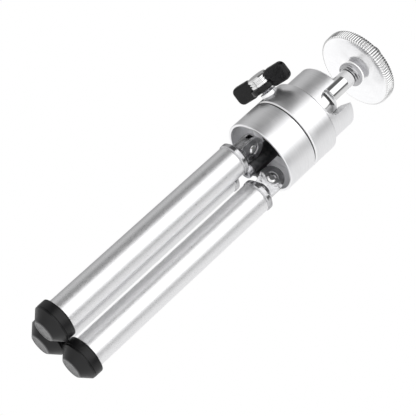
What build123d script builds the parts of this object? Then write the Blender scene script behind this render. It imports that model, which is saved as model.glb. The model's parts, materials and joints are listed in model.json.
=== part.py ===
"""Pocket tripod, folded: three telescoping legs hinged in a cup under a ball head.

Millimetres, +Z up along the tripod's axis. The origin is on that axis, in the plane of
the three feet's flat ends. The ball head's U-slot opens towards -Y, and the clamping
wing screw comes out towards -X.
"""
from build123d import *
import math
import os

# ---- feet ----
foot_lip = 1.3             # foot's radius beyond the outer tube's
foot_flat_r = 3.45
foot_gap = 0.515           # half the gap between two feet when folded
foot_cone_h = 3.05
foot_band_h = 3.5
foot_socket_h = 4.5
barb_r = 1.4
barb_h = 1.0

# ---- telescoping legs ----
leg_phase = -20.0          # direction of leg 1, degrees from +X
leg_count = 3
outer_tube_r = 5.2
outer_tube_h = 71.4
tube_wall = 0.5
bushing_wall = 0.45
bushing_h = 6.0
guide_h = 4.0
guide_slit = 0.8
slide_clearance = 0.05
section_gap = 0.3          # foot to tube ends when closed
middle_top_gap = 0.6       # closed middle tube to the cap's plug
inner_top_gap = 2.4        # closed inner tube's end below the middle tube's end
foot_plug_h = 5.0
tube_edge = 0.12

# ---- leg caps and their hinges ----
cap_plug_h = 5.0
cap_flange_lip = 0.3       # flange's radius beyond the outer tube's
cap_flange_h = 2.1
cap_flange_edge = 0.45
cap_cone_h = 1.9
cap_cone_top_r = 2.6
pivot_inset = 0.8          # hinge pin inside the leg's centre line
pivot_rise = 7.75          # hinge pin above the outer tube's end
lug_width = 3.4
lug_foot_half = 3.2        # half the lug's radial width where it leaves the cone
ear_r = 4.0
tongue_thickness = 1.5
fork_clearance = 0.1
tongue_r = 2.2
tongue_clearance = 0.3
window_h = 2.1
window_rise = 0.9          # window's centre above the pin
leg_swing = 55.0           # degrees from folded to open
pin_r = 1.0
pin_clearance = 0.04
pin_head_r = 1.5
pin_head_h = 0.5
pin_recess_r = 2.1
pin_recess_h = 0.3
pin_head_gap = 0.05

# ---- cup and spider ----
cup_wall = 0.9
hinge_gap = 0.8            # leg lugs to the cup's wall
cup_h = 11.6
cup_roof = 2.6
cup_lip_above_pivot = 2.8
edge_small = 0.2
seam_chamfer = 0.35
hub_gap = 0.2              # leg lugs to the spider's hub
spider_flange_r = 6.0
spider_flange_h = 1.6
screw_r = 1.5
screw_clearance = 0.1
screw_head_r = 2.6
screw_head_h = 1.7
hex_across_flats = 2.5
hex_depth = 1.0
washer_h = 0.4
screw_into_plug = 1.7

# ---- ball housing ----
housing_h = 9.7
shoulder_step = 1.65
turret_edge = 0.5
shoulder_edge = 0.4
bore_clearance = 0.1       # bore's radius beyond the ball's and the seat's
base_plug_r = 8.5
base_plug_h = 2.0
ball_r = 6.5
ball_drop = 5.3            # ball centre below the turret's top
ball_clearance = 0.05
slot_width = 8.5
opening_lip = 1.3          # how far the rim closes over the ball
opening_edge = 0.6
wing_axis_above_seam = 4.5
boss_wall = 0.7
boss_h = 1.0

# ---- clamp: seat, wedge and wing screw ----
seat_rise = 3.15           # seat's flat underside above the wing screw's axis
seat_floor = 0.7           # seat's thickness under the ball
seat_rim_below_ball = 4.0  # seat's rim below the ball's centre
seat_nose_r = 1.0
seat_nose_h = 4.45
wedge_gap = 0.06
wing_screw_r = 2.0
wing_screw_clearance = 0.05
wedge_h = 8.0
knob_gap = 1.1             # housing's boss to the knob's inner face
knob_angle = 64.0          # wings' lean from upright, towards the slot side
knob_base_r = 4.6
knob_base_h = 1.9
knob_hub_r = 3.6
knob_hub_h = 5.1
knob_hub_edge = 0.6
wing_half = 11.0
wing_root = 3.2
wing_depth = 5.2
wing_bevel_out = 1.0
wing_bevel_in = 0.8
wing_thickness = 2.6
wing_corner = 1.1

# ---- stem, camera screw and lock wheel ----
head_lean = 2.5            # the stem's lean away from the slot, degrees
stem_r = 2.9
stem_h = 16.15             # ball centre to the stem's end
stem_edge = 0.35
collar_lip = 1.125         # collar's radius beyond the camera screw's
collar_h = 2.4
collar_edge = 0.7
part_gap = 0.05
camera_screw_r = 3.175
camera_screw_out = 7.0
camera_screw_edge = 0.7
thread_relief = 0.475      # depth of the groove below the screw's free thread
thread_relief_h = 0.7
spigot_r = 1.6
spigot_h = 6.0
wheel_r = 13.5
wheel_h = 3.7
wheel_edge = 0.45
wheel_teeth = 96
tooth_depth = 0.35
wheel_boss_wall = 0.725
wheel_boss_h = 0.6
wheel_screw_gap = 0.03
pad_r = 10.8
pad_h = 0.9
pad_recess_h = 0.6
pad_side_gap = 0.2

# ---- radii that follow, from the legs outwards and up ----
foot_r = outer_tube_r + foot_lip
cap_flange_r = outer_tube_r + cap_flange_lip
leg_circle_r = (foot_r + foot_gap) / math.sin(math.pi / leg_count)   # axis to each leg
pivot_r = leg_circle_r - pivot_inset                                 # axis to each hinge pin
fork_gap = tongue_thickness + 2 * fork_clearance
spider_hub_r = pivot_r - ear_r - hub_gap
cup_r = pivot_r + ear_r + hinge_gap + cup_wall
turret_r = cup_r - shoulder_step
bore_r = ball_r + bore_clearance
seat_r = bore_r - bore_clearance
opening_r = ball_r - opening_lip
boss_r = wing_screw_r + boss_wall
knob_offset = cup_r + boss_h + knob_gap                              # axis to the knob's inner face
thread_relief_r = camera_screw_r - thread_relief
wheel_boss_r = camera_screw_r + wheel_boss_wall
collar_r = camera_screw_r + collar_lip

# ---- levels that follow ----
foot_h = foot_cone_h + foot_band_h
tube_z = foot_h + section_gap
tube_top_z = tube_z + outer_tube_h
pivot_z = tube_top_z + pivot_rise
cup_z = pivot_z + cup_lip_above_pivot
seam_z = cup_z + cup_h
shoulder_z = seam_z + housing_h
wing_z = seam_z + wing_axis_above_seam
seat_z = wing_z + seat_rise
ball_z = seat_z + seat_floor + ball_clearance + ball_r
turret_top_z = ball_z + ball_drop
roof_z = seam_z - cup_roof

# ---- tube sizes that follow ----
outer_tube_bore = outer_tube_r - tube_wall
middle_tube_r = outer_tube_bore - bushing_wall - slide_clearance
middle_tube_bore = middle_tube_r - tube_wall
inner_tube_r = middle_tube_bore - bushing_wall - slide_clearance
inner_tube_bore = inner_tube_r - tube_wall
middle_top_z = tube_top_z - cap_plug_h - middle_top_gap
inner_top_z = middle_top_z - inner_top_gap
inner_bottom_z = foot_h - foot_socket_h
middle_travel = middle_top_z - guide_h - tube_z - bushing_h
inner_travel = inner_top_z - guide_h - tube_z - bushing_h


# ---- small helpers ----
def cylinder(radius, low, high):
    return Pos(0, 0, low) * Cylinder(radius, high - low, align=(Align.CENTER, Align.CENTER, Align.MIN))


def sleeve(radius, bore, low, high):
    return cylinder(radius, low, high) - cylinder(bore, low - 1, high + 1)


def turned(points):
    """A solid turned about Z from (radius, height) points."""
    outline = Polyline(*[(r, 0, z) for r, z in points], close=True)
    return revolve(make_face(outline), Axis.Z)


def along_x(shape):
    """Lay a shape built along +Z down along +X."""
    return Rot(0, 90, 0) * shape


def radial_plate(face, thickness):
    """A plate in the X-Z plane, centred on Y = 0, from a face drawn as (X, Z)."""
    return extrude(Plane.XZ * face, thickness / 2, both=True)


def on_legs(shape):
    """One copy of a shape at each leg, by turning it about the tripod's axis."""
    return [Rot(0, 0, leg_phase + 360 / leg_count * i) * shape for i in range(leg_count)]


def on_leg_axis(shape):
    """Move a shape built about Z out to the centre line of a leg that points along +X."""
    return Pos(leg_circle_r, 0, 0) * shape


# ---- legs ----
def foot():
    outline = [
        (0, 0),
        (foot_flat_r, 0),
        (foot_r, foot_cone_h),
        (foot_r, foot_h - edge_small),
        (foot_r - edge_small, foot_h),
        (0, foot_h),
    ]
    socket = cylinder(inner_tube_r, inner_bottom_z, foot_h + 1)
    barb_hole = cylinder(barb_r, inner_bottom_z - barb_h, foot_h)
    return turned(outline) - socket - barb_hole


def foot_plug():
    plug = cylinder(inner_tube_bore, inner_bottom_z, inner_bottom_z + foot_plug_h)
    return plug + cylinder(barb_r, inner_bottom_z - barb_h, inner_bottom_z)


def inner_tube():
    return sleeve(inner_tube_r, inner_tube_bore, inner_bottom_z, inner_top_z)


def middle_tube():
    return sleeve(middle_tube_r, middle_tube_bore, tube_z, middle_top_z)


def outer_tube():
    outline = [
        (outer_tube_bore, tube_z),
        (outer_tube_r - tube_edge, tube_z),
        (outer_tube_r, tube_z + tube_edge),
        (outer_tube_r, tube_top_z - tube_edge),
        (outer_tube_r - tube_edge, tube_top_z),
        (outer_tube_bore, tube_top_z),
    ]
    return turned(outline)


def end_bushing(bore, tube_r):
    """The ring fixed inside a tube's lower end, that the next tube slides through."""
    return sleeve(bore, tube_r + slide_clearance, tube_z, tube_z + bushing_h)


def guide_ring(tube_r, bore, top):
    """The split ring on a tube's upper end, that slides in the bore around it."""
    ring = sleeve(bore - slide_clearance, tube_r, top - guide_h, top)
    slit = Pos(bore, 0, top - guide_h / 2) * Box(bore, guide_slit, guide_h + 1)
    return ring - slit


def cap_lug_face():
    """The hinge lug's side outline, with the pin's centre at (0, 0)."""
    foot_x = leg_circle_r - pivot_r
    low = cap_flange_h - pivot_rise
    body = make_face(Polyline(
        (foot_x - lug_foot_half, low),
        (foot_x + lug_foot_half, low),
        (ear_r, 0),
        (-ear_r, 0),
        close=True,
    ))
    return body + Circle(ear_r)


def tongue_sweep_face():
    """Room for the spider's tongue as the leg swings, with the pin's centre at (0, 0)."""
    room = tongue_r + tongue_clearance
    reach = 2 * ear_r
    last = math.radians(180 - leg_swing)
    edge = last - math.pi / 2
    edge_x = room * math.cos(edge)
    edge_z = room * math.sin(edge)
    sweep = make_face(Polyline(
        (0, -room),
        (-reach, -room),
        (-reach, reach),
        (edge_x + reach * math.cos(last), edge_z + reach * math.sin(last)),
        (edge_x, edge_z),
        close=True,
    ))
    return sweep + Circle(room)


def leg_cap():
    flange_top = tube_top_z + cap_flange_h
    outline = [
        (0, tube_top_z - cap_plug_h),
        (outer_tube_bore, tube_top_z - cap_plug_h),
        (outer_tube_bore, tube_top_z),
        (cap_flange_r - cap_flange_edge, tube_top_z),
        (cap_flange_r, tube_top_z + cap_flange_edge),
        (cap_flange_r, flange_top - cap_flange_edge),
        (cap_flange_r - cap_flange_edge, flange_top),
        (cap_cone_top_r, flange_top + cap_cone_h),
        (0, flange_top + cap_cone_h),
    ]
    at_pin = Pos(pivot_r, 0, pivot_z)
    lug = at_pin * radial_plate(cap_lug_face(), lug_width)
    slot = at_pin * radial_plate(tongue_sweep_face(), fork_gap)
    window = at_pin * Pos(ear_r, 0, window_rise) * Box(2 * ear_r, fork_gap, window_h)
    across = at_pin * Rot(90, 0, 0)
    pin_hole = across * Cylinder(pin_r + pin_clearance, 2 * lug_width)
    recesses = across * (
        cylinder(pin_recess_r, lug_width / 2 - pin_recess_h, lug_width)
        + cylinder(pin_recess_r, -lug_width, pin_recess_h - lug_width / 2)
    )
    return on_leg_axis(turned(outline)) + lug - slot - window - pin_hole - recesses


def pivot_pin():
    """A rivet across the fork, with a low domed head at each end."""
    seat = lug_width / 2 - pin_recess_h + pin_head_gap
    head = turned([
        (0, seat),
        (pin_head_r, seat),
        (pin_head_r, seat + pin_head_h / 3),
        (pin_head_r * 0.6, seat + pin_head_h),
        (0, seat + pin_head_h),
    ])
    rivet = cylinder(pin_r, -seat, seat) + head + Rot(180, 0, 0) * head
    return Pos(pivot_r, 0, pivot_z) * Rot(90, 0, 0) * rivet


# ---- cup and spider ----
def cup():
    outline = [
        (cup_r - cup_wall, cup_z),
        (cup_r - edge_small, cup_z),
        (cup_r, cup_z + edge_small),
        (cup_r, seam_z - seam_chamfer),
        (cup_r - seam_chamfer, seam_z),
        (screw_r + screw_clearance, seam_z),
        (screw_r + screw_clearance, roof_z),
        (cup_r - cup_wall, roof_z),
    ]
    return turned(outline)


def spider():
    """The hub screwed under the cup's roof, with a tongue reaching out to each pin."""
    body = cylinder(spider_hub_r, pivot_z - tongue_r, roof_z)
    body += cylinder(spider_flange_r, roof_z - spider_flange_h, roof_z)
    arm_face = Pos(pivot_r / 2, 0) * Rectangle(pivot_r, 2 * tongue_r) + Pos(pivot_r, 0) * Circle(tongue_r)
    arm = Pos(0, 0, pivot_z) * radial_plate(arm_face, tongue_thickness)
    arm -= Pos(pivot_r, 0, pivot_z) * Rot(90, 0, 0) * Cylinder(pin_r, 2 * lug_width)
    for placed_arm in on_legs(arm):
        body += placed_arm
    return body - cylinder(screw_r + screw_clearance, pivot_z - 2 * tongue_r, roof_z + 1)


def spider_washer():
    low = pivot_z - tongue_r - washer_h
    return sleeve(screw_head_r, screw_r + screw_clearance, low, low + washer_h)


def spider_screw():
    head_top = pivot_z - tongue_r - washer_h
    head_low = head_top - screw_head_h
    outline = [
        (0, head_low),
        (screw_head_r - edge_small, head_low),
        (screw_head_r, head_low + edge_small),
        (screw_head_r, head_top),
        (screw_r, head_top),
        (screw_r, seam_z + screw_into_plug),
        (0, seam_z + screw_into_plug),
    ]
    across_corners = hex_across_flats / math.cos(math.pi / 6)
    hex_socket = Pos(0, 0, head_low) * extrude(RegularPolygon(across_corners / 2, 6), hex_depth)
    return turned(outline) - hex_socket


# ---- ball housing ----
def housing():
    boss_x = cup_r + boss_h
    outline = [
        (0, seam_z),
        (cup_r - seam_chamfer, seam_z),
        (cup_r, seam_z + seam_chamfer),
        (cup_r, shoulder_z - shoulder_edge),
        (cup_r - shoulder_edge, shoulder_z),
        (turret_r, shoulder_z),
        (turret_r, turret_top_z - turret_edge),
        (turret_r - turret_edge, turret_top_z),
        (0, turret_top_z),
    ]
    body = turned(outline)
    body += Pos(-boss_x, 0, wing_z) * along_x(cylinder(boss_r, 0, boss_x - bore_r))
    body -= cylinder(bore_r, seam_z, ball_z)
    body -= cylinder(base_plug_r, seam_z - 1, seam_z + base_plug_h)
    body -= Pos(0, 0, ball_z) * Sphere(ball_r + ball_clearance)
    body -= cylinder(opening_r, ball_z, turret_top_z + 1)
    countersink = Cone(opening_r, opening_r + 2 * opening_edge, 2 * opening_edge)
    body -= Pos(0, 0, turret_top_z) * countersink
    slot_tall = 2 * ball_drop
    slot_long = 2 * turret_r
    slot = Pos(0, -slot_long / 2, ball_z + slot_tall / 2) * Box(slot_width, slot_long, slot_tall)
    slot += Pos(0, -slot_long / 2, ball_z) * Rot(90, 0, 0) * Cylinder(slot_width / 2, slot_long)
    body -= slot
    screw_hole = along_x(cylinder(wing_screw_r + wing_screw_clearance, 0, boss_x))
    return body - Pos(-boss_x - 1, 0, wing_z) * screw_hole


def base_plug():
    return sleeve(base_plug_r, screw_r, seam_z, seam_z + base_plug_h)


# ---- clamp ----
def ball_seat():
    seat = cylinder(seat_r, seat_z, ball_z - seat_rim_below_ball)
    seat -= Pos(0, 0, ball_z) * Sphere(ball_r + ball_clearance)
    nose = turned([
        (0, seat_z - seat_nose_h),
        (seat_nose_r, seat_z - seat_nose_h),
        (seat_nose_r + seat_nose_h, seat_z),
        (0, seat_z),
    ])
    return seat + nose


def wedge_tip_x():
    """Where the wedge's 45 degree nose ends, so that it just clears the seat's 45 degree nose."""
    nose_r_at_axis = seat_nose_r + wing_z - (seat_z - seat_nose_h)
    return -nose_r_at_axis - wedge_gap * math.sqrt(2)


def lock_wedge():
    outline = [
        (0, wedge_tip_x() - wedge_h),
        (wing_screw_r, wedge_tip_x() - wedge_h),
        (wing_screw_r, wedge_tip_x() - wing_screw_r),
        (0, wedge_tip_x()),
    ]
    return Pos(0, 0, wing_z) * along_x(turned(outline))


def wing_screw():
    inner_end = wedge_tip_x() - wedge_h - part_gap
    outer_end = -knob_offset - knob_hub_h + knob_hub_edge
    return Pos(0, 0, wing_z) * along_x(cylinder(wing_screw_r, outer_end, inner_end))


def knob_hub():
    """The metal centre of the wing knob, fixed on the screw's outer end."""
    outer = -knob_offset - knob_hub_h
    shoulder = -knob_offset - knob_base_h
    sleeve_r = (wing_screw_r + knob_hub_r) / 2
    hub = turned([
        (0, outer),
        (knob_hub_r - knob_hub_edge, outer),
        (knob_hub_r, outer + knob_hub_edge),
        (knob_hub_r, shoulder),
        (sleeve_r, shoulder),
        (sleeve_r, -knob_offset),
        (0, -knob_offset),
    ])
    hub -= cylinder(wing_screw_r, outer + knob_hub_edge, 0)
    return Pos(0, 0, wing_z) * along_x(hub)


def wing_blade():
    """One wing, standing up along +Z at Y = 0, bevelled where it faces the housing."""
    half = wing_thickness / 2
    inner = -knob_offset + wing_bevel_out
    outer = -knob_offset - wing_depth
    section = make_face(Polyline(
        (outer, -half),
        (-knob_offset, -half),
        (inner, wing_bevel_in - half),
        (inner, half - wing_bevel_in),
        (-knob_offset, half),
        (outer, half),
        close=True,
    ))
    blade = extrude(Pos(0, 0, wing_root) * section, wing_half - wing_root)
    tip_edges = blade.edges().group_by(Axis.Z)[-1].filter_by(Axis.X)
    outer_edges = blade.edges().group_by(Axis.X)[0].filter_by(Axis.Z)
    return fillet(tip_edges + outer_edges, wing_corner)


def wing_knob():
    sleeve_r = (wing_screw_r + knob_hub_r) / 2
    base = along_x(cylinder(knob_base_r, -knob_offset - knob_base_h, -knob_offset))
    blade = wing_blade()
    body = base + blade + Rot(180, 0, 0) * blade
    body -= along_x(cylinder(sleeve_r, -knob_offset - wing_depth - 1, 0))
    body -= along_x(cylinder(knob_hub_r, -knob_offset - wing_depth - 1, -knob_offset - knob_base_h))
    return Pos(0, 0, wing_z) * Rot(knob_angle, 0, 0) * body


# ---- stem, camera screw and lock wheel, built upright from the ball's centre ----
def ball():
    return Sphere(ball_r)


def stem():
    outline = [
        (0, 0),
        (stem_r, 0),
        (stem_r, stem_h - stem_edge),
        (stem_r - stem_edge, stem_h),
        (0, stem_h),
    ]
    spigot_room = cylinder(spigot_r + part_gap, stem_h - spigot_h - part_gap, stem_h + 1)
    return turned(outline) - Sphere(ball_r + ball_clearance) - spigot_room


def collar_z():
    return stem_h + part_gap


def wheel_z():
    return collar_z() + collar_h + wheel_boss_h


def pad_top_z():
    return wheel_z() + wheel_h + pad_h - pad_recess_h


def lock_collar():
    low = collar_z()
    high = low + collar_h
    return turned([
        (spigot_r, low),
        (collar_r - collar_edge, low),
        (collar_r, low + collar_edge),
        (collar_r, high - collar_edge),
        (collar_r - collar_edge, high),
        (spigot_r, high),
    ])


def camera_screw():
    shoulder = collar_z() + collar_h
    pad_top = pad_top_z()
    top = pad_top + camera_screw_out
    return turned([
        (0, collar_z() - spigot_h),
        (spigot_r, collar_z() - spigot_h),
        (spigot_r, shoulder),
        (camera_screw_r, shoulder),
        (camera_screw_r, pad_top - thread_relief_h),
        (thread_relief_r, pad_top - thread_relief_h),
        (thread_relief_r, pad_top),
        (camera_screw_r, pad_top),
        (camera_screw_r, top - camera_screw_edge),
        (camera_screw_r - camera_screw_edge, top),
        (0, top),
    ])


def wheel_outline():
    """The knurled rim seen from above: one straight-sided tooth after another."""
    points = []
    for i in range(2 * wheel_teeth):
        radius = wheel_r if i % 2 == 0 else wheel_r - tooth_depth
        angle = math.pi * i / wheel_teeth
        points.append((radius * math.cos(angle), radius * math.sin(angle)))
    return make_face(Polyline(*points, close=True))


def lock_wheel():
    low = wheel_z()
    high = low + wheel_h
    boss_low = low - wheel_boss_h + part_gap
    rim = extrude(Pos(0, 0, low) * wheel_outline(), wheel_h)
    rim &= turned([
        (0, low),
        (wheel_r - wheel_edge, low),
        (wheel_r, low + wheel_edge),
        (wheel_r, high - wheel_edge),
        (wheel_r - wheel_edge, high),
        (0, high),
    ])
    boss = turned([
        (0, boss_low),
        (wheel_boss_r - wheel_boss_h / 2, boss_low),
        (wheel_boss_r, low),
        (0, low),
    ])
    pad_recess = cylinder(pad_r + pad_side_gap, high - pad_recess_h - part_gap, high + 1)
    return rim + boss - pad_recess - cylinder(camera_screw_r + wheel_screw_gap, boss_low - 1, high + 1)


def camera_pad():
    low = wheel_z() + wheel_h - pad_recess_h
    return sleeve(pad_r, camera_screw_r + wheel_screw_gap, low, low + pad_h)


def on_ball(shape):
    """Place a shape built upright from the ball's centre, leaning as the stem does."""
    return Pos(0, 0, ball_z) * Rot(-head_lean, 0, 0) * shape


# ---- write every node ----
def leg_nodes():
    """Each leg's pieces by name, for a leg that points along +X."""
    return {
        "cap": leg_cap(),
        "outer_tube": on_leg_axis(outer_tube()),
        "outer_bushing": on_leg_axis(end_bushing(outer_tube_bore, middle_tube_r)),
        "middle_tube": on_leg_axis(middle_tube()),
        "middle_guide": on_leg_axis(guide_ring(middle_tube_r, outer_tube_bore, middle_top_z)),
        "middle_bushing": on_leg_axis(end_bushing(middle_tube_bore, inner_tube_r)),
        "inner_tube": on_leg_axis(inner_tube()),
        "inner_guide": on_leg_axis(guide_ring(inner_tube_r, middle_tube_bore, inner_top_z)),
        "foot_plug": on_leg_axis(foot_plug()),
        "foot": on_leg_axis(foot()),
    }


def all_nodes():
    nodes = {
        "cup": cup(),
        "spider": spider(),
        "spider_washer": spider_washer(),
        "spider_screw": spider_screw(),
        "pivot_pins": Compound(on_legs(pivot_pin())),
        "housing": housing(),
        "base_plug": base_plug(),
        "ball_seat": ball_seat(),
        "lock_wedge": lock_wedge(),
        "wing_screw": wing_screw(),
        "knob_hub": knob_hub(),
        "wing_knob": wing_knob(),
        "ball": on_ball(ball()),
        "stem": on_ball(stem()),
        "lock_collar": on_ball(lock_collar()),
        "camera_screw": on_ball(camera_screw()),
        "lock_wheel": on_ball(lock_wheel()),
        "camera_pad": on_ball(camera_pad()),
    }
    for name, shape in leg_nodes().items():
        for i, placed in enumerate(on_legs(shape)):
            nodes[f"leg{i + 1}_{name}"] = placed
    return nodes


os.makedirs("parts", exist_ok=True)
for node_name, node_shape in all_nodes().items():
    export_step(node_shape, f"parts/{node_name}.step")
print("pivot", pivot_z, "cup", cup_z, "seam", seam_z, "ball", ball_z, "wing", wing_z)
print("travel", middle_travel, inner_travel)
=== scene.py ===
"""Looks for the folded pocket tripod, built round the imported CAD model.

Turned pieces are lathed here, threads and knurls are shaped here, and the milled or moulded
pieces are copies of the CAD solids with their edges broken. Sizes are written in millimetres
and turned into metres by MM; places come from the frame's nodes and joints.
"""
import json
import math

import bmesh
import bpy
from mathutils import Matrix, Vector


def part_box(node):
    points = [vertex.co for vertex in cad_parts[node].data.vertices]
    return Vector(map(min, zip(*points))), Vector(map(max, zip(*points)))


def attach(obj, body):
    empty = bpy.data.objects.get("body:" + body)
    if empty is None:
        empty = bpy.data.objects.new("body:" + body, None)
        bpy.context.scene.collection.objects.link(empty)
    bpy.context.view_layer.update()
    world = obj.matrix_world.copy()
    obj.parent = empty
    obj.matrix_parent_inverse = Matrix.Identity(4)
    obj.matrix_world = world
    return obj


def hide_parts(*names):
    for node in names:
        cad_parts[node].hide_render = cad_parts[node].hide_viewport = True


MM = 0.001
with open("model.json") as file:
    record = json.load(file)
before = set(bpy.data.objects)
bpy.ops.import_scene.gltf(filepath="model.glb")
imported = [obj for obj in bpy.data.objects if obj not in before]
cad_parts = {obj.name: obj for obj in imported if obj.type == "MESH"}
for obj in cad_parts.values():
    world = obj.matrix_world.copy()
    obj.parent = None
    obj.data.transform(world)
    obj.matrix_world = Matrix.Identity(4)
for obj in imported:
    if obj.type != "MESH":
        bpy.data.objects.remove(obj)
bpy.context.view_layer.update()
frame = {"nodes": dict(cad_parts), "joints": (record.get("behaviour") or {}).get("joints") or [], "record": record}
nodes = frame["nodes"]
joints = {joint["name"]: joint for joint in frame["joints"]}

# ---- camera: the photograph's viewing angle, from a little below ----
CAMERA_AZIMUTH = -11.55
CAMERA_ELEVATION = -21.95
CAMERA_ROLL = 47.6
CAMERA_DISTANCE = 434.4
CAMERA_AIM = (0.91, 1.64, 65.57)
CAMERA_LENS = 123.7

# ---- rounding and resolution ----
TURNED_SEGMENTS = 160
SMALL_SEGMENTS = 96
CORNER_STEPS = 4
BALL_STEPS = 80
SMOOTH_LIMIT = math.radians(40)
TOOTH_LIMIT = math.radians(50)      # the same for threads and the knurl

# ---- legs and cup, in mm ----
TUBE_WALL = 0.5
FOOT_CONE = 3.05                    # height of the foot's cone, and how far it draws in
FOOT_HOLLOW = 0.12                  # dish in the foot's flat end
CUP_WALL = 0.9
CUP_ROOF = 2.6
CUP_HOLE_R = 1.6
SEAM_DEPTH = 0.5
SEAM_WIDTH = 0.62

# ---- wing knob, in mm and degrees ----
WING_LEAN = 64
WING_ROOT = 3.0
WING_REACH = 11.0
WING_HALF_THICKNESS = 1.3
WING_CORNER = 1.9
WING_EDGE = 0.75
KNOB_BASE_R = 4.6
KNOB_BASE_H = 1.9
KNOB_HOLLOW_R = 3.65
KNOB_SLEEVE_R = 2.8
HUB_GROOVE_PITCH = 0.85
HUB_GROOVE_DEPTH = 0.32
CLAMP_SCREW_R = 2.0
CLAMP_SCREW_ROOT = 1.6
CLAMP_SCREW_PITCH = 0.7

# ---- stem, camera screw, wheel and pad, in mm ----
BALL_GAP = 0.05                     # between the ball and the foot of its stem
STEM_BORE_R = 1.65
STEM_BORE_DEPTH = 6.05
COLLAR_BORE_R = 1.6
SCREW_R = 3.175
SCREW_ROOT = 2.5
SCREW_PITCH = 1.27
SCREW_POINT = 0.9
SHANK_R = 1.6
WHEEL_TEETH = 96
TOOTH_STEPS = 8
KNURL_DEPTH = 0.42
WHEEL_EDGE = 0.5
WHEEL_BOSS_H = 0.55
WHEEL_BORE_R = 3.205
PAD_RECESS_R = 11.0
PAD_BORE_R = 3.21
PAD_RING_PITCH = 1.1
PAD_GROOVE = 0.16


# ---------------------------------------------------------------- places
def node_box(name):
    """A CAD node's box in millimetres."""
    low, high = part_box(name)
    return low / MM, high / MM


def centre_xy(name):
    low, high = node_box(name)
    return (low.x + high.x) / 2, (low.y + high.y) / 2


head_joint = joints["head_pan"]
head_axis = Vector(head_joint["axis"]).normalized()
ball_centre = Vector(head_joint["pos_m"])
head_turn = Vector((0, 0, 1)).rotation_difference(head_axis).to_matrix().to_4x4()
HEAD = Matrix.Translation(ball_centre) @ head_turn


def along_head(name):
    """Lowest and highest reach of a node along the leaning stem, from the ball's centre, in mm."""
    reach = [(Vector(v.co) - ball_centre).dot(head_axis) / MM for v in nodes[name].data.vertices]
    return min(reach), max(reach)


def reach_from_head(name):
    """A node's largest distance from the leaning stem's axis, in mm."""
    offsets = [Vector(v.co) - ball_centre for v in nodes[name].data.vertices]
    return max((o - head_axis * o.dot(head_axis)).length for o in offsets) / MM


# ---------------------------------------------------------------- meshes
def finish_mesh(mesh, sharp=SMOOTH_LIMIT):
    for polygon in mesh.polygons:
        polygon.use_smooth = True
    mesh.set_sharp_from_angle(angle=sharp)
    mesh.update()


def new_piece(name, bm, matrix, sharp=SMOOTH_LIMIT):
    """An object from a mesh drawn in millimetres, with its place written into its vertices."""
    bmesh.ops.recalc_face_normals(bm, faces=bm.faces)
    mesh = bpy.data.meshes.new(name)
    bm.to_mesh(mesh)
    bm.free()
    mesh.transform(matrix @ Matrix.Scale(MM, 4))
    finish_mesh(mesh, sharp)
    piece = bpy.data.objects.new(name, mesh)
    bpy.context.scene.collection.objects.link(piece)
    weigh_normals(piece)
    return piece


def weigh_normals(piece):
    modifier = piece.modifiers.new("even_normals", "WEIGHTED_NORMAL")
    modifier.keep_sharp = True
    modifier.weight = 80


def rounded(points):
    """An outline in (radius, height, corner radius), with each corner turned as an arc."""
    outline = []
    count = len(points)
    for i, (r, z, corner) in enumerate(points):
        here = Vector((r, z))
        before = Vector(points[i - 1][:2]) - here
        after = Vector(points[(i + 1) % count][:2]) - here
        if corner <= 0 or before.length < 1e-6 or after.length < 1e-6:
            outline.append(here)
            continue
        half = before.angle(after) / 2
        setback = min(corner / math.tan(half), 0.49 * before.length, 0.49 * after.length)
        start = here + before.normalized() * setback
        end = here + after.normalized() * setback
        for step in range(CORNER_STEPS + 1):
            t = step / CORNER_STEPS
            outline.append((1 - t) ** 2 * start + 2 * t * (1 - t) * here + t ** 2 * end)
    return outline


def ball_seat_outline(radius, reach, steps=10):
    """Points up a ball's outline, from the axis over its centre out to a reach from that axis."""
    angles = [math.asin(min(1, reach / radius)) * i / steps for i in range(steps + 1)]
    return [(radius * math.sin(a), radius * math.cos(a), 0) for a in angles]


def lathe(outline, segments=TURNED_SEGMENTS):
    """A closed outline of (radius, height) turned about Z. Points on the axis become poles."""
    bm = bmesh.new()
    rings = []
    for r, z in outline:
        if r < 1e-6:
            rings.append([bm.verts.new((0, 0, z))])
            continue
        turn = [2 * math.pi * i / segments for i in range(segments)]
        rings.append([bm.verts.new((r * math.cos(a), r * math.sin(a), z)) for a in turn])
    for below, above in zip(rings, rings[1:] + rings[:1]):
        if len(below) == 1 and len(above) == 1:
            continue
        for i in range(segments):
            j = (i + 1) % segments
            corners = (below[i % len(below)], below[j % len(below)], above[j % len(above)], above[i % len(above)])
            bm.faces.new(list(dict.fromkeys(corners)))
    return bm


def lathed(name, points, matrix=Matrix.Identity(4), segments=TURNED_SEGMENTS):
    return new_piece(name, lathe(rounded(points), segments), matrix)


def thread_radius(crest, root, phase):
    """Radius of a 60 degree thread at a share of its pitch, with small flats."""
    slope = abs(2 * (phase % 1) - 1)
    return root + (crest - root) * min(1, max(0, (slope - 0.12) / 0.76))


def threaded(name, crest, root, pitch, low, high, point, matrix):
    """A screw's thread between two heights, with its upper end turned down to a point."""
    steps_per_turn = 12
    end_slope = 0.9
    levels = max(8, round((high - low) / pitch * steps_per_turn))
    bm = bmesh.new()
    rings = []
    for level in range(levels + 1):
        z = low + (high - low) * level / levels
        limit = crest - max(0, point - (high - z)) * end_slope
        ring = []
        for i in range(SMALL_SEGMENTS):
            share = i / SMALL_SEGMENTS
            angle = 2 * math.pi * share
            r = min(limit, thread_radius(crest, root, (z - low) / pitch - share))
            ring.append(bm.verts.new((r * math.cos(angle), r * math.sin(angle), z)))
        rings.append(ring)
    for below, above in zip(rings, rings[1:]):
        for i in range(SMALL_SEGMENTS):
            j = (i + 1) % SMALL_SEGMENTS
            bm.faces.new((below[i], below[j], above[j], above[i]))
    bm.faces.new(rings[0][::-1])
    bm.faces.new(rings[-1])
    return new_piece(name, bm, matrix, TOOTH_LIMIT)


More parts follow.
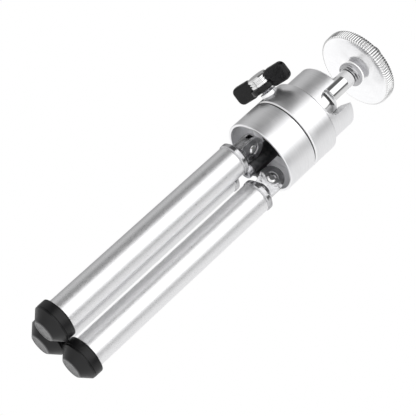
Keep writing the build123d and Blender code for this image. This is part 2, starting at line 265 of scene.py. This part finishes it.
def softened(name, node, width, sharp=35):
    """A copy of a CAD solid with its flat faces joined up and its edges broken by a small bevel."""
    bm = bmesh.new()
    bm.from_mesh(nodes[node].data)
    bmesh.ops.remove_doubles(bm, verts=bm.verts, dist=0.002 * MM)
    bmesh.ops.dissolve_limit(bm, angle_limit=math.radians(0.6), verts=bm.verts, edges=bm.edges)
    mesh = bpy.data.meshes.new(name)
    bm.to_mesh(mesh)
    bm.free()
    piece = bpy.data.objects.new(name, mesh)
    bpy.context.scene.collection.objects.link(piece)
    bevel = piece.modifiers.new("broken_edges", "BEVEL")
    bevel.width = width * MM
    bevel.segments = 2
    bevel.limit_method = "ANGLE"
    bevel.angle_limit = math.radians(sharp)
    bevel.use_clamp_overlap = True
    finish_mesh(mesh, math.radians(sharp))
    weigh_normals(piece)
    return piece


# ---------------------------------------------------------------- materials
class Material:
    """A Principled material with short helpers for its procedural detail."""

    def __init__(self, name, colour, metallic, roughness):
        self.material = bpy.data.materials.new(name)
        self.material.use_nodes = True
        self.tree = self.material.node_tree
        self.shader = self.tree.nodes["Principled BSDF"]
        self.set("Base Color", (*colour, 1))
        self.set("Metallic", metallic)
        self.set("Roughness", roughness)
        self.place = self.node("ShaderNodeTexCoord").outputs["Object"]

    def node(self, kind):
        return self.tree.nodes.new(kind)

    def set(self, socket, value):
        self.shader.inputs[socket].default_value = value

    def join(self, output, target):
        self.tree.links.new(output, target)

    def noise(self, size, detail=3.0, stretch=(1, 1, 1), roughness=0.55):
        """Noise whose features are about that many millimetres across."""
        mapping = self.node("ShaderNodeMapping")
        mapping.inputs["Scale"].default_value = stretch
        self.join(self.place, mapping.inputs["Vector"])
        noise = self.node("ShaderNodeTexNoise")
        noise.inputs["Scale"].default_value = 1 / (size * MM)
        noise.inputs["Detail"].default_value = detail
        noise.inputs["Roughness"].default_value = roughness
        self.join(mapping.outputs["Vector"], noise.inputs["Vector"])
        return noise.outputs["Fac"]

    def remap(self, value, low, high, from_low=0.3, from_high=0.7):
        remap = self.node("ShaderNodeMapRange")
        remap.inputs["From Min"].default_value = from_low
        remap.inputs["From Max"].default_value = from_high
        remap.inputs["To Min"].default_value = low
        remap.inputs["To Max"].default_value = high
        self.join(value, remap.inputs["Value"])
        return remap.outputs["Result"]

    def tint(self, value, first, second):
        """Base colour that runs from the first colour to the second."""
        mix = self.node("ShaderNodeMix")
        mix.data_type = "RGBA"
        mix.inputs["A"].default_value = (*first, 1)
        mix.inputs["B"].default_value = (*second, 1)
        self.join(value, mix.inputs["Factor"])
        self.join(mix.outputs["Result"], self.shader.inputs["Base Color"])

    def bump(self, *layers):
        """Bump from (height, depth in mm) layers, each laid on the last."""
        normal = None
        for height, depth in layers:
            bump = self.node("ShaderNodeBump")
            bump.inputs["Distance"].default_value = depth * MM
            self.join(height, bump.inputs["Height"])
            if normal is not None:
                self.join(normal, bump.inputs["Normal"])
            normal = bump.outputs["Normal"]
        self.join(normal, self.shader.inputs["Normal"])

    def turned_grain(self, amount, axis="Z"):
        """Grooves round an axis, too fine to see, which smear reflections along it."""
        tangent = self.node("ShaderNodeTangent")
        tangent.direction_type = "RADIAL"
        tangent.axis = axis
        self.join(tangent.outputs["Tangent"], self.shader.inputs["Tangent"])
        self.set("Anisotropic", amount)

    def height(self, low, high):
        """0 to 1 between two heights over the floor, in mm."""
        split = self.node("ShaderNodeSeparateXYZ")
        self.join(self.place, split.inputs[0])
        return self.remap(split.outputs["Z"], 0, 1, low * MM, high * MM)

    def times(self, first, second):
        product = self.node("ShaderNodeMath")
        product.operation = "MULTIPLY"
        self.join(first, product.inputs[0])
        self.join(second, product.inputs[1])
        return product.outputs[0]


def satin_aluminium():
    """Fine-turned body metal: rings too fine to see singly, which soften the reflections."""
    m = Material("satin_aluminium", (0.86, 0.86, 0.87), 1.0, 0.32)
    cloud = m.noise(7, 3)
    m.join(m.remap(cloud, 0.29, 0.36), m.shader.inputs["Roughness"])
    m.tint(m.remap(m.noise(0.30, 2, (0.05, 0.05, 1)), 0, 1), (0.82, 0.82, 0.83), (0.89, 0.89, 0.90))
    m.turned_grain(0.75)
    m.bump((m.noise(0.5, 2), 0.0012))
    return m.material


def pearl_aluminium():
    """Bead-blasted leg tubes, with a fine sparkling grain."""
    m = Material("pearl_aluminium", (0.84, 0.84, 0.85), 1.0, 0.34)
    grain = m.noise(0.27, 2, roughness=0.75)
    m.join(m.remap(grain, 0.26, 0.42), m.shader.inputs["Roughness"])
    m.tint(m.remap(grain, 0, 1), (0.77, 0.77, 0.78), (0.92, 0.92, 0.925))
    m.turned_grain(0.6)
    m.bump((grain, 0.006))
    return m.material


def polished_chrome(name="polished_chrome", roughness=0.05, level=0.72):
    m = Material(name, (level, level, level + 0.01), 1.0, roughness)
    smudge = m.noise(3.5, 4)
    m.join(m.remap(smudge, roughness * 0.6, roughness * 1.8), m.shader.inputs["Roughness"])
    m.tint(m.remap(smudge, 0, 1), (level - 0.03,) * 3, (level + 0.03,) * 3)
    m.bump((m.noise(1.4, 2), 0.002))
    return m.material


def cast_chrome():
    """Plated castings: the leg caps, whose skin is a little wavy."""
    m = Material("cast_chrome", (0.46, 0.46, 0.47), 1.0, 0.1)
    wave = m.noise(1.6, 3)
    m.join(m.remap(wave, 0.06, 0.16), m.shader.inputs["Roughness"])
    m.tint(m.remap(m.noise(2.5, 4), 0, 1), (0.34, 0.34, 0.35), (0.58, 0.58, 0.59))
    m.bump((wave, 0.16), (m.noise(0.4, 2), 0.004))
    return m.material


def shaded_collar_chrome():
    """The collar under the wheel, painted darker than the stem as shade from the wheel above it."""
    m = Material("shaded_collar_chrome", (0.42, 0.42, 0.43), 1.0, 0.06)
    m.join(m.remap(m.noise(2.5, 4), 0.04, 0.1), m.shader.inputs["Roughness"])
    m.tint(m.remap(m.noise(3, 3), 0, 1), (0.38, 0.38, 0.39), (0.47, 0.47, 0.48))
    m.bump((m.noise(1.2, 2), 0.004))
    return m.material


def turned_chrome():
    """Plated faces that were turned on a lathe: their reflections stretch out from the axis."""
    m = Material("turned_chrome", (0.92, 0.92, 0.93), 1.0, 0.2)
    rings = m.noise(0.5, 2)
    m.join(m.remap(m.noise(4, 3), 0.16, 0.24), m.shader.inputs["Roughness"])
    m.tint(m.remap(rings, 0, 1), (0.89, 0.89, 0.90), (0.94, 0.94, 0.95))
    m.turned_grain(0.85)
    m.bump((rings, 0.0012))
    return m.material


def knurl_valley_shade():
    """The floor of the knurl, painted dark as shade between the ribs."""
    m = Material("knurl_valley_shade", (0.16, 0.16, 0.165), 1.0, 0.45)
    patch = m.noise(1.5, 4)
    m.join(m.remap(patch, 0.35, 0.6), m.shader.inputs["Roughness"])
    m.tint(m.remap(patch, 0, 1), (0.10, 0.10, 0.105), (0.26, 0.26, 0.265))
    m.bump((m.noise(0.3, 3), 0.006))
    return m.material


def zinc_steel():
    m = Material("zinc_steel", (0.5, 0.5, 0.52), 1.0, 0.28)
    patch = m.noise(1.1, 4)
    m.join(m.remap(patch, 0.2, 0.42), m.shader.inputs["Roughness"])
    m.tint(m.remap(patch, 0, 1), (0.42, 0.42, 0.44), (0.6, 0.6, 0.62))
    m.bump((m.noise(0.3, 3), 0.01))
    return m.material


def black_oxide_and_seam_shade():
    """The hub deep in the cup: blackened steel with a thin oily sheen. The cup's seam groove is painted with it
    too, as painted shade.
    """
    m = Material("black_oxide_and_seam_shade", (0.05, 0.05, 0.052), 1.0, 0.4)
    patch = m.noise(1.2, 4)
    m.join(m.remap(patch, 0.3, 0.55), m.shader.inputs["Roughness"])
    m.tint(m.remap(patch, 0, 1), (0.03, 0.03, 0.032), (0.09, 0.09, 0.093))
    m.bump((m.noise(0.3, 3), 0.008))
    return m.material


def turned_brass():
    m = Material("turned_brass", (0.78, 0.62, 0.32), 1.0, 0.25)
    rings = m.noise(0.2, 2, (1, 0.05, 0.05))
    m.tint(m.remap(rings, 0, 1), (0.70, 0.54, 0.27), (0.84, 0.68, 0.38))
    m.bump((rings, 0.006))
    return m.material


def moulded_nylon():
    m = Material("moulded_nylon", (0.02, 0.02, 0.021), 0.0, 0.42)
    m.tint(m.remap(m.noise(2, 3), 0, 1), (0.016, 0.016, 0.017), (0.026, 0.026, 0.027))
    m.bump((m.noise(0.25, 2), 0.004))
    return m.material


def foot_rubber():
    """Black rubber with a satin skin, painted greyer on its flat end: partly rub wear, partly painted light from
    below.
    """
    m = Material("foot_rubber", (0.006, 0.006, 0.0065), 0.0, 0.38)
    m.set("Specular IOR Level", 0.3)
    mottle = m.noise(1.4, 4)
    # Painted light and wear: the flat end is greyer in mottled patches, for light from below and for rubbing.
    lit_and_rubbed = m.times(m.height(0.35, 0.0), m.remap(m.noise(0.8, 4), 0.55, 1.0))
    m.join(m.remap(mottle, 0.30, 0.46), m.shader.inputs["Roughness"])
    m.tint(lit_and_rubbed, (0.006, 0.006, 0.0065), (0.16, 0.16, 0.162))
    m.bump((m.noise(0.3, 3), 0.006), (mottle, 0.012))
    return m.material


def pad_rubber():
    m = Material("pad_rubber", (0.022, 0.022, 0.023), 0.0, 0.6)
    m.tint(m.remap(m.noise(0.8, 4), 0, 1), (0.016, 0.016, 0.017), (0.04, 0.04, 0.041))
    m.bump((m.noise(0.3, 3), 0.02))
    return m.material


def gloss_black():
    """Glossy moulded plastic with a soft orange peel."""
    m = Material("gloss_black", (0.004, 0.004, 0.0045), 0.0, 0.12)
    m.set("Specular IOR Level", 0.25)
    m.join(m.remap(m.noise(2.2, 3), 0.07, 0.2), m.shader.inputs["Roughness"])
    m.tint(m.remap(m.noise(1.2, 4), 0, 1), (0.003, 0.003, 0.0034), (0.007, 0.007, 0.0076))
    m.bump((m.noise(1.2, 2), 0.035), (m.noise(0.35, 2), 0.004))
    return m.material


MATERIALS = {
    "satin_aluminium": satin_aluminium(),
    "pearl_aluminium": pearl_aluminium(),
    "polished_chrome": polished_chrome(),
    "turned_chrome": turned_chrome(),
    # A brighter copy of the polished chrome for the wheel: painted highlight, so that its ribs read as lit.
    "lit_wheel_chrome": polished_chrome("lit_wheel_chrome", 0.09, 0.92),
    "cast_chrome": cast_chrome(),
    "shaded_collar_chrome": shaded_collar_chrome(),
    "knurl_valley_shade": knurl_valley_shade(),
    "steel": zinc_steel(),
    "black_oxide_and_seam_shade": black_oxide_and_seam_shade(),
    "brass": turned_brass(),
    "nylon": moulded_nylon(),
    "black_rubber": foot_rubber(),
    "pad_rubber": pad_rubber(),
    "gloss_black": gloss_black(),
}
slot_of_node = {part["node"]: part["material_slot"] for part in frame["record"]["subparts"]}
body_of_node = {n: body for body, members in frame["record"]["behaviour"]["bodies"].items() for n in members}


def dress(piece, material):
    piece.data.materials.clear()
    piece.data.materials.append(MATERIALS[material])


def paint_faces(piece, material, test):
    """Give the faces whose centre (in mm) and normal pass the test another material."""
    piece.data.materials.append(MATERIALS[material])
    for polygon in piece.data.polygons:
        if test(polygon.center / MM, polygon.normal):
            polygon.material_index = len(piece.data.materials) - 1


def stand_for(piece, node, material=None):
    """The piece takes the CAD node's place: its body, its slot and its material."""
    slot = slot_of_node[node]
    dress(piece, material or slot)
    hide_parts(node)
    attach(piece, body_of_node[node])


for node_name, node in nodes.items():
    dress(node, slot_of_node[node_name])


# ---------------------------------------------------------------- legs
def leg_tube(node, material):
    """A drawn tube with rolled ends."""
    x, y = centre_xy(node)
    low, high = node_box(node)
    outer = (high.x - low.x) / 2
    inner = outer - TUBE_WALL
    roll = TUBE_WALL * 0.45
    points = [(inner, low.z, roll), (outer, low.z, roll), (outer, high.z, roll), (inner, high.z, roll)]
    piece = lathed(f"{node}_drawn", points, Matrix.Translation((x * MM, y * MM, 0)))
    stand_for(piece, node, material)


def rubber_foot(name, node):
    """A moulded foot: flat end, cone, band and a small lip, open above for the tube."""
    x, y = centre_xy(node)
    low, high = node_box(node)
    outer = (high.x - low.x) / 2
    tube_low, tube_high = node_box(node.replace("foot", "inner_tube"))
    bore = (tube_high.x - tube_low.x) / 2 + 0.02
    flat = outer - FOOT_CONE
    cone_top = low.z + FOOT_CONE
    cone_r = outer - 0.06
    groove_r = outer - 0.2
    points = [
        (0, low.z + FOOT_HOLLOW, 0),
        (flat - 0.6, low.z + FOOT_HOLLOW, 0.1),
        (flat - 0.35, low.z, 0.12),
        (flat, low.z, 0.2),
        (cone_r, cone_top, 0.25),
        (cone_r, cone_top + 0.35, 0),
        (groove_r, cone_top + 0.45, 0),
        (groove_r, cone_top + 0.6, 0),
        (outer, cone_top + 0.7, 0.06),
        (outer, high.z, 0.35),
        (bore, high.z, 0.15),
        (bore, tube_low.z, 0),
        (0, tube_low.z, 0),
    ]
    piece = lathed(name, points, Matrix.Translation((x * MM, y * MM, 0)))
    stand_for(piece, node)


for leg in ("leg1", "leg2", "leg3"):
    leg_tube(f"{leg}_outer_tube", "pearl_aluminium")
    leg_tube(f"{leg}_middle_tube", "satin_aluminium")
    leg_tube(f"{leg}_inner_tube", "satin_aluminium")
    rubber_foot(f"{leg}_rubber_foot", f"{leg}_foot")
    stand_for(softened(f"{leg}_hinge_cap", f"{leg}_cap", 0.3), f"{leg}_cap", "cast_chrome")


# ---------------------------------------------------------------- cup and hinges
def cup_body():
    """The drawn cup that hides the hinges: a rolled lip, a thick roof, and a groove as its seam, painted black as
    shade.
    """
    low, high = node_box("cup")
    radius = (high.x - low.x) / 2
    roof = high.z - CUP_ROOF
    seam = high.z - SEAM_WIDTH
    points = [
        (radius - CUP_WALL, low.z, 0.25),
        (radius, low.z, 0.35),
        (radius, seam, 0.1),
        (radius - SEAM_DEPTH, seam + 0.05, 0),
        (radius - SEAM_DEPTH, high.z, 0),
        (CUP_HOLE_R, high.z, 0),
        (CUP_HOLE_R, roof, 0.1),
        (radius - CUP_WALL, roof, 0.5),
    ]
    piece = lathed("cup_body", points)
    stand_for(piece, "cup")
    # Painted shade: the faces of the seam groove are painted black.
    paint_faces(piece, "black_oxide_and_seam_shade", lambda at, _: at.z > seam and at.xy.length < radius - 0.1)


cup_body()
stand_for(softened("spider_hub", "spider", 0.12), "spider", "black_oxide_and_seam_shade")
stand_for(softened("hinge_pins", "pivot_pins", 0.12, 25), "pivot_pins")
stand_for(softened("hub_screw", "spider_screw", 0.12), "spider_screw")
stand_for(softened("housing_body", "housing", 0.16), "housing")


# ---------------------------------------------------------------- wing screw and knob
def rounded_blade(low, high, corner, edge, turn, steps=6):
    """A wing: a slab with its corners rounded in its broad side and a full round along every edge."""
    outline = []
    for quarter, (x, z) in enumerate(((high.x, high.z), (low.x, high.z), (low.x, low.z), (high.x, low.z))):
        centre = Vector((x - math.copysign(corner, x - (low.x + high.x) / 2),
                         z - math.copysign(corner, z - (low.z + high.z) / 2)))
        for i in range(steps + 1):
            angle = math.radians(90 * quarter + 90 * i / steps)
            outline.append((centre, Vector((math.cos(angle), math.sin(angle)))))
    half = []
    for i in range(steps + 1):
        angle = math.pi / 2 * i / steps
        half.append((low.y + edge * (1 - math.sin(angle)), edge * (1 - math.cos(angle))))
    half.sort()
    layers = half + [(low.y + high.y - y, inset) for y, inset in reversed(half)]
    bm = bmesh.new()
    rings = []
    for y, inset in layers:
        points = [centre + direction * (corner - inset) for centre, direction in outline]
        rings.append([bm.verts.new((point.x, y, point.y)) for point in points])
    for below, above in zip(rings, rings[1:]):
        for i in range(len(outline)):
            j = (i + 1) % len(outline)
            bm.faces.new((below[i], below[j], above[j], above[i]))
    bm.faces.new(rings[0][::-1])
    bm.faces.new(rings[-1])
    bmesh.ops.transform(bm, matrix=turn, verts=bm.verts)
    return bm


def across(name):
    """The place of a turned piece of the wing knob, whose axis lies along X through the node's middle."""
    low, high = node_box(name)
    return Matrix.Translation((0, 0, (low.z + high.z) / 2 * MM)) @ Matrix.Rotation(math.pi / 2, 4, "Y")


def wing_grip():
    """The moulded knob: a round base and two wings with rounded tips."""
    low, high = node_box("wing_knob")
    top = high.x - 1.0
    bottom = top - KNOB_BASE_H
    sleeve = top - 1.5
    base = [
        (KNOB_HOLLOW_R, sleeve, 0),
        (KNOB_SLEEVE_R, sleeve, 0),
        (KNOB_SLEEVE_R, top, 0),
        (KNOB_BASE_R, top, 0.5),
        (KNOB_BASE_R, bottom, 0.5),
        (KNOB_HOLLOW_R, bottom, 0),
    ]
    grip = lathed("wing_grip", base, across("wing_knob"), SMALL_SEGMENTS)
    stand_for(grip, "wing_knob")
    place = Matrix.Translation((0, 0, (low.z + high.z) / 2 * MM))
    blade_low = Vector((low.x, -WING_HALF_THICKNESS, WING_ROOT))
    blade_high = Vector((high.x, WING_HALF_THICKNESS, WING_REACH))
    for name, side in (("wing_tip_up", 0), ("wing_tip_down", 180)):
        turn = Matrix.Rotation(math.radians(WING_LEAN + side), 4, "X")
        blade = new_piece(name, rounded_blade(blade_low, blade_high, WING_CORNER, WING_EDGE, turn), place)
        dress(blade, "gloss_black")
        blade.parent = grip


wing_grip()


def wing_hub():
    """The plated centre of the knob, with grooves round it."""
    low, high = node_box("knob_hub")
    radius = (high.z - low.z) / 2
    groove_r = radius - HUB_GROOVE_DEPTH
    shoulder = high.x - KNOB_BASE_H
    inside = low.x + 0.6
    points = [
        (CLAMP_SCREW_R, high.x, 0),
        (CLAMP_SCREW_R, inside, 0),
        (0, inside, 0),
        (0, low.x, 0),
        (radius - 0.5, low.x, 0.3),
        (radius, low.x + 0.55, 0.2),
    ]
    z = low.x + 0.55
    while z < shoulder - 1.1:
        points += [
            (radius, z + 0.35, 0.08),
            (groove_r, z + 0.45, 0),
            (groove_r, z + 0.75, 0),
            (radius, z + HUB_GROOVE_PITCH, 0.08),
        ]
        z += HUB_GROOVE_PITCH
    points += [(radius, shoulder, 0.15), (KNOB_SLEEVE_R, shoulder, 0), (KNOB_SLEEVE_R, high.x, 0)]
    stand_for(lathed("wing_hub", points, across("knob_hub"), SMALL_SEGMENTS), "knob_hub")


wing_hub()


def clamp_screw():
    low, high = node_box("wing_screw")
    piece = threaded("clamp_screw", CLAMP_SCREW_R, CLAMP_SCREW_ROOT, CLAMP_SCREW_PITCH, low.x, high.x, 0,
                     across("wing_screw"))
    stand_for(piece, "wing_screw")


clamp_screw()


# ---------------------------------------------------------------- ball, stem and collar
def chrome_ball():
    radius = reach_from_head("ball")
    outline = []
    for i in range(BALL_STEPS + 1):
        angle = math.pi * i / BALL_STEPS
        outline.append(Vector((radius * math.sin(angle), -radius * math.cos(angle))))
    outline[0].x = outline[-1].x = 0
    stand_for(new_piece("chrome_ball", lathe(outline), HEAD), "ball")


def head_stem():
    """The polished neck that stands on the ball."""
    top = along_head("stem")[1]
    radius = reach_from_head("stem")
    bore_end = top - STEM_BORE_DEPTH
    points = [
        *ball_seat_outline(reach_from_head("ball") + BALL_GAP, radius),
        (radius, top, 0.35),
        (STEM_BORE_R, top, 0),
        (STEM_BORE_R, bore_end, 0),
        (0, bore_end, 0),
    ]
    stand_for(lathed("head_stem", points, HEAD, SMALL_SEGMENTS), "stem")


def stem_collar():
    low, high = along_head("lock_collar")
    radius = reach_from_head("lock_collar")
    points = [
        (COLLAR_BORE_R, low, 0),
        (radius - 1.0, low, 0),
        (radius - 0.95, low + 0.1, 0),
        (radius, low + 0.55, 0.9),
        (radius, high - 0.45, 0.9),
        (radius - 0.8, high, 0),
        (COLLAR_BORE_R, high, 0),
    ]
    # The collar takes a darker copy of the chrome: painted shade under the wheel.
    stand_for(lathed("stem_collar", points, HEAD, SMALL_SEGMENTS), "lock_collar", "shaded_collar_chrome")


chrome_ball()
head_stem()
stem_collar()


# ---------------------------------------------------------------- camera screw, wheel and pad
def camera_screw():
    low, high = along_head("camera_screw")
    shoulder = along_head("lock_collar")[1]
    overlap = 0.3
    shank = [(0, low, 0), (SHANK_R, low, 0), (SHANK_R, shoulder + overlap, 0), (0, shoulder + overlap, 0)]
    thread = threaded("camera_screw_thread", SCREW_R, SCREW_ROOT, SCREW_PITCH, shoulder + 0.01, high, SCREW_POINT,
                      HEAD)
    stand_for(thread, "camera_screw")
    core = lathed("camera_screw_shank", shank, HEAD, SMALL_SEGMENTS)
    dress(core, "polished_chrome")
    core.parent = thread


def knurled_wheel():
    """The lock wheel: a straight coin-edge knurl of rounded ribs and a turned, dished underside."""
    low, high = along_head("lock_wheel")
    radius = reach_from_head("lock_wheel")
    under = low + WHEEL_BOSS_H
    count = WHEEL_TEETH * TOOTH_STEPS
    pad_floor = along_head("camera_pad")[0] - 0.05
    lip = radius - KNURL_DEPTH - WHEEL_EDGE
    chamfer_r = lip + 0.28
    shoulder_r = radius - WHEEL_EDGE * 0.25
    rib_sharpness = 2.6
    rim = [                              # height, radius, share of the knurl's depth
        (under, lip, 0.0),
        (under + 0.06, chamfer_r, 0.15),
        (under + WHEEL_EDGE * 0.6, shoulder_r, 0.8),
        (under + WHEEL_EDGE, radius, 1.0),
        (high - WHEEL_EDGE, radius, 1.0),
        (high - WHEEL_EDGE * 0.6, shoulder_r, 0.8),
        (high - 0.06, chamfer_r, 0.15),
        (high, lip, 0.0),
    ]
    flat = [
        (high, PAD_RECESS_R + 0.25, 0), (high - 0.15, PAD_RECESS_R, 0), (pad_floor, PAD_RECESS_R, 0),
        (pad_floor, WHEEL_BORE_R, 0), (low, WHEEL_BORE_R, 0), (low, 3.55, 0), (low + 0.1, 3.75, 0),
        (under - 0.08, 3.95, 0), (under, 4.1, 0), (under, 5.5, 0), (under, 7.0, 0), (under, 9.0, 0),
        (under, 11.0, 0),
    ]
    bm = bmesh.new()
    rings = []
    for z, r, share in rim + flat:
        ring = []
        for i in range(count):
            rib = abs(2 * (i / TOOTH_STEPS % 1) - 1)
            radius_here = r - KNURL_DEPTH * share * rib ** rib_sharpness
            angle = 2 * math.pi * i / count
            ring.append(bm.verts.new((radius_here * math.cos(angle), radius_here * math.sin(angle), z)))
        rings.append(ring)
    for below, above in zip(rings, rings[1:] + rings[:1]):
        for i in range(count):
            j = (i + 1) % count
            bm.faces.new((below[i], below[j], above[j], above[i]))
    piece = new_piece("knurled_wheel", bm, HEAD, TOOTH_LIMIT)
    # The wheel takes the brighter copy of the chrome, a painted highlight on its ribs.
    stand_for(piece, "lock_wheel", "lit_wheel_chrome")
    to_wheel = head_turn.to_3x3().inverted()

    def in_valley(at, _):
        local = to_wheel @ (at - ball_centre / MM)
        tooth = math.atan2(local.y, local.x) / (2 * math.pi) * WHEEL_TEETH % 1
        return local.xy.length > lip + 0.3 and abs(tooth - 0.5) < 0.13

    def on_underside(at, normal):
        local = to_wheel @ (at - ball_centre / MM)
        return (to_wheel @ normal).z < -0.9 and 4.1 < local.xy.length < lip + 0.05

    # Painted shade: the faces in the knurl's valleys get a near-black material.
    paint_faces(piece, "knurl_valley_shade", in_valley)
    paint_faces(piece, "turned_chrome", on_underside)


def ribbed_pad():
    """The rubber disc under the camera, with raised rings for grip."""
    low, high = along_head("camera_pad")
    radius = reach_from_head("camera_pad")
    slope = 0.15
    floor = high - PAD_GROOVE
    points = [(PAD_BORE_R, low, 0), (radius, low, 0.05), (radius, high, 0.25)]
    r = radius - 0.8
    while r - PAD_RING_PITCH > PAD_BORE_R + 0.6:
        inner = r - PAD_RING_PITCH * 0.45
        points += [(r, high, 0.08), (r - slope, floor, 0.05), (inner, floor, 0.05), (inner - slope, high, 0.08)]
        r -= PAD_RING_PITCH
    points.append((PAD_BORE_R, high, 0.1))
    stand_for(lathed("ribbed_pad", points, HEAD), "camera_pad")


camera_screw()
knurled_wheel()
ribbed_pad()


# ---------------------------------------------------------------- camera, light and floor
def add_camera():
    a = math.radians(CAMERA_AZIMUTH)
    e = math.radians(CAMERA_ELEVATION)
    roll = math.radians(CAMERA_ROLL)
    back = Vector((math.sin(a) * math.cos(e), -math.cos(a) * math.cos(e), math.sin(e)))
    level_right = Vector((math.cos(a), math.sin(a), 0))
    level_up = back.cross(level_right)
    right = level_right * math.cos(roll) + level_up * math.sin(roll)
    up = level_up * math.cos(roll) - level_right * math.sin(roll)
    data = bpy.data.cameras.new("camera")
    data.lens = CAMERA_LENS
    data.clip_start = 0.01
    camera = bpy.data.objects.new("camera", data)
    turn = Matrix((right, up, back)).transposed().to_4x4()
    camera.matrix_world = Matrix.Translation((Vector(CAMERA_AIM) + back * CAMERA_DISTANCE) * MM) @ turn
    bpy.context.scene.collection.objects.link(camera)
    bpy.context.scene.camera = camera


# Brightness round the studio: (degrees round from -Y towards +X, level).
# At eye level and above, a front panel stands between two dark flags. Below, the white table fills the view.
PANELS = (
    (-180, 0.42), (-150, 0.32), (-135, 0.50), (-118, 0.66), (-98, 0.62), (-85, 0.16), (-48, 0.14), (-38, 1.7),
    (22, 1.7), (34, 0.12), (46, 0.18), (60, 0.80), (75, 0.92), (130, 0.95), (165, 0.85), (180, 0.42),
)
TABLE = ((-180, 1.1), (-110, 0.74), (-75, 0.95), (-45, 1.2), (60, 1.2), (110, 1.0), (180, 1.1))
GAP = 0.07                       # the dark ceiling between the panels and the overhead panel
OVERHEAD = 0.95
TABLE_EDGE = (-0.14, 0.0)        # heights of the view direction where the table gives way to the panels
GAP_EDGE = (0.70, 0.80)
OVERHEAD_EDGE = (0.93, 0.975)
BACKDROP = 1.0


def add_studio():
    """The world: soft panels for everything that reflects, and a plain white for the camera."""
    world = bpy.data.worlds.new("studio")
    bpy.context.scene.world = world
    world.use_nodes = True
    tree = world.node_tree
    tree.nodes.clear()

    def node(kind, **values):
        made = tree.nodes.new(kind)
        for key, value in values.items():
            setattr(made, key, value)
        return made

    where = node("ShaderNodeTexCoord").outputs["Generated"]
    split = node("ShaderNodeSeparateXYZ")
    tree.links.new(where, split.inputs[0])
    flip = node("ShaderNodeMath", operation="MULTIPLY")
    flip.inputs[1].default_value = -1
    tree.links.new(split.outputs["Y"], flip.inputs[0])
    azimuth = node("ShaderNodeMath", operation="ARCTAN2")
    tree.links.new(split.outputs["X"], azimuth.inputs[0])
    tree.links.new(flip.outputs[0], azimuth.inputs[1])
    share = node("ShaderNodeMapRange")
    share.inputs["From Min"].default_value = -math.pi
    share.inputs["From Max"].default_value = math.pi
    tree.links.new(azimuth.outputs[0], share.inputs["Value"])
    brightest = max(level for _, level in PANELS + TABLE)

    def around(levels):
        ramp = node("ShaderNodeValToRGB")
        stops = ramp.color_ramp.elements
        while len(stops) < len(levels):
            stops.new(0.5)
        for stop, (degrees, level) in zip(stops, levels):
            stop.position = (degrees + 180) / 360
            stop.color = (level / brightest,) * 3 + (1,)
        tree.links.new(share.outputs["Result"], ramp.inputs["Fac"])
        return ramp.outputs["Color"]

    def upwards(edge):
        rise = node("ShaderNodeMapRange", interpolation_type="SMOOTHSTEP")
        rise.inputs["From Min"].default_value, rise.inputs["From Max"].default_value = edge
        tree.links.new(split.outputs["Z"], rise.inputs["Value"])
        return rise.outputs["Result"]

    walls = node("ShaderNodeMix", data_type="RGBA")
    tree.links.new(upwards(TABLE_EDGE), walls.inputs["Factor"])
    tree.links.new(around(TABLE), walls.inputs["A"])
    tree.links.new(around(PANELS), walls.inputs["B"])
    room = walls
    for edge, level in ((GAP_EDGE, GAP), (OVERHEAD_EDGE, OVERHEAD)):
        higher = node("ShaderNodeMix", data_type="RGBA")
        tree.links.new(upwards(edge), higher.inputs["Factor"])
        tree.links.new(room.outputs["Result"], higher.inputs["A"])
        higher.inputs["B"].default_value = (level / brightest,) * 3 + (1,)
        room = higher
    surround = node("ShaderNodeBackground")
    surround.inputs["Strength"].default_value = brightest
    tree.links.new(room.outputs["Result"], surround.inputs["Color"])
    plain = node("ShaderNodeBackground")
    plain.inputs["Color"].default_value = (BACKDROP,) * 3 + (1,)
    path = node("ShaderNodeLightPath")
    mix = node("ShaderNodeMixShader")
    tree.links.new(path.outputs["Is Camera Ray"], mix.inputs["Fac"])
    tree.links.new(surround.outputs[0], mix.inputs[1])
    tree.links.new(plain.outputs[0], mix.inputs[2])
    tree.links.new(mix.outputs[0], node("ShaderNodeOutputWorld").inputs["Surface"])


def add_floor():
    """A pale floor under the feet. It shows from above only, so that the view from below is clear."""
    half = 3.0
    below_feet = -0.0002
    bm = bmesh.new()
    corners = [(-half, -half), (half, -half), (half, half), (-half, half)]
    bm.faces.new([bm.verts.new((x, y, below_feet)) for x, y in corners])
    mesh = bpy.data.meshes.new("floor")
    bm.to_mesh(mesh)
    bm.free()
    floor = bpy.data.objects.new("floor", mesh)
    bpy.context.scene.collection.objects.link(floor)
    material = bpy.data.materials.new("pale_floor")
    material.use_nodes = True
    tree = material.node_tree
    paint = tree.nodes["Principled BSDF"]
    paint.inputs["Base Color"].default_value = (0.9, 0.9, 0.9, 1)
    paint.inputs["Roughness"].default_value = 0.7
    clear = tree.nodes.new("ShaderNodeBsdfTransparent")
    path = tree.nodes.new("ShaderNodeLightPath")
    face = tree.nodes.new("ShaderNodeNewGeometry")
    from_above = tree.nodes.new("ShaderNodeMath")
    from_above.operation = "SUBTRACT"
    from_above.use_clamp = True
    tree.links.new(path.outputs["Is Camera Ray"], from_above.inputs[0])
    tree.links.new(face.outputs["Backfacing"], from_above.inputs[1])
    mix = tree.nodes.new("ShaderNodeMixShader")
    tree.links.new(from_above.outputs[0], mix.inputs["Fac"])
    tree.links.new(clear.outputs[0], mix.inputs[1])
    tree.links.new(paint.outputs[0], mix.inputs[2])
    tree.links.new(mix.outputs[0], tree.nodes["Material Output"].inputs["Surface"])
    mesh.materials.append(material)


add_camera()
add_studio()
add_floor()
bpy.context.scene.view_settings.view_transform = "Standard"
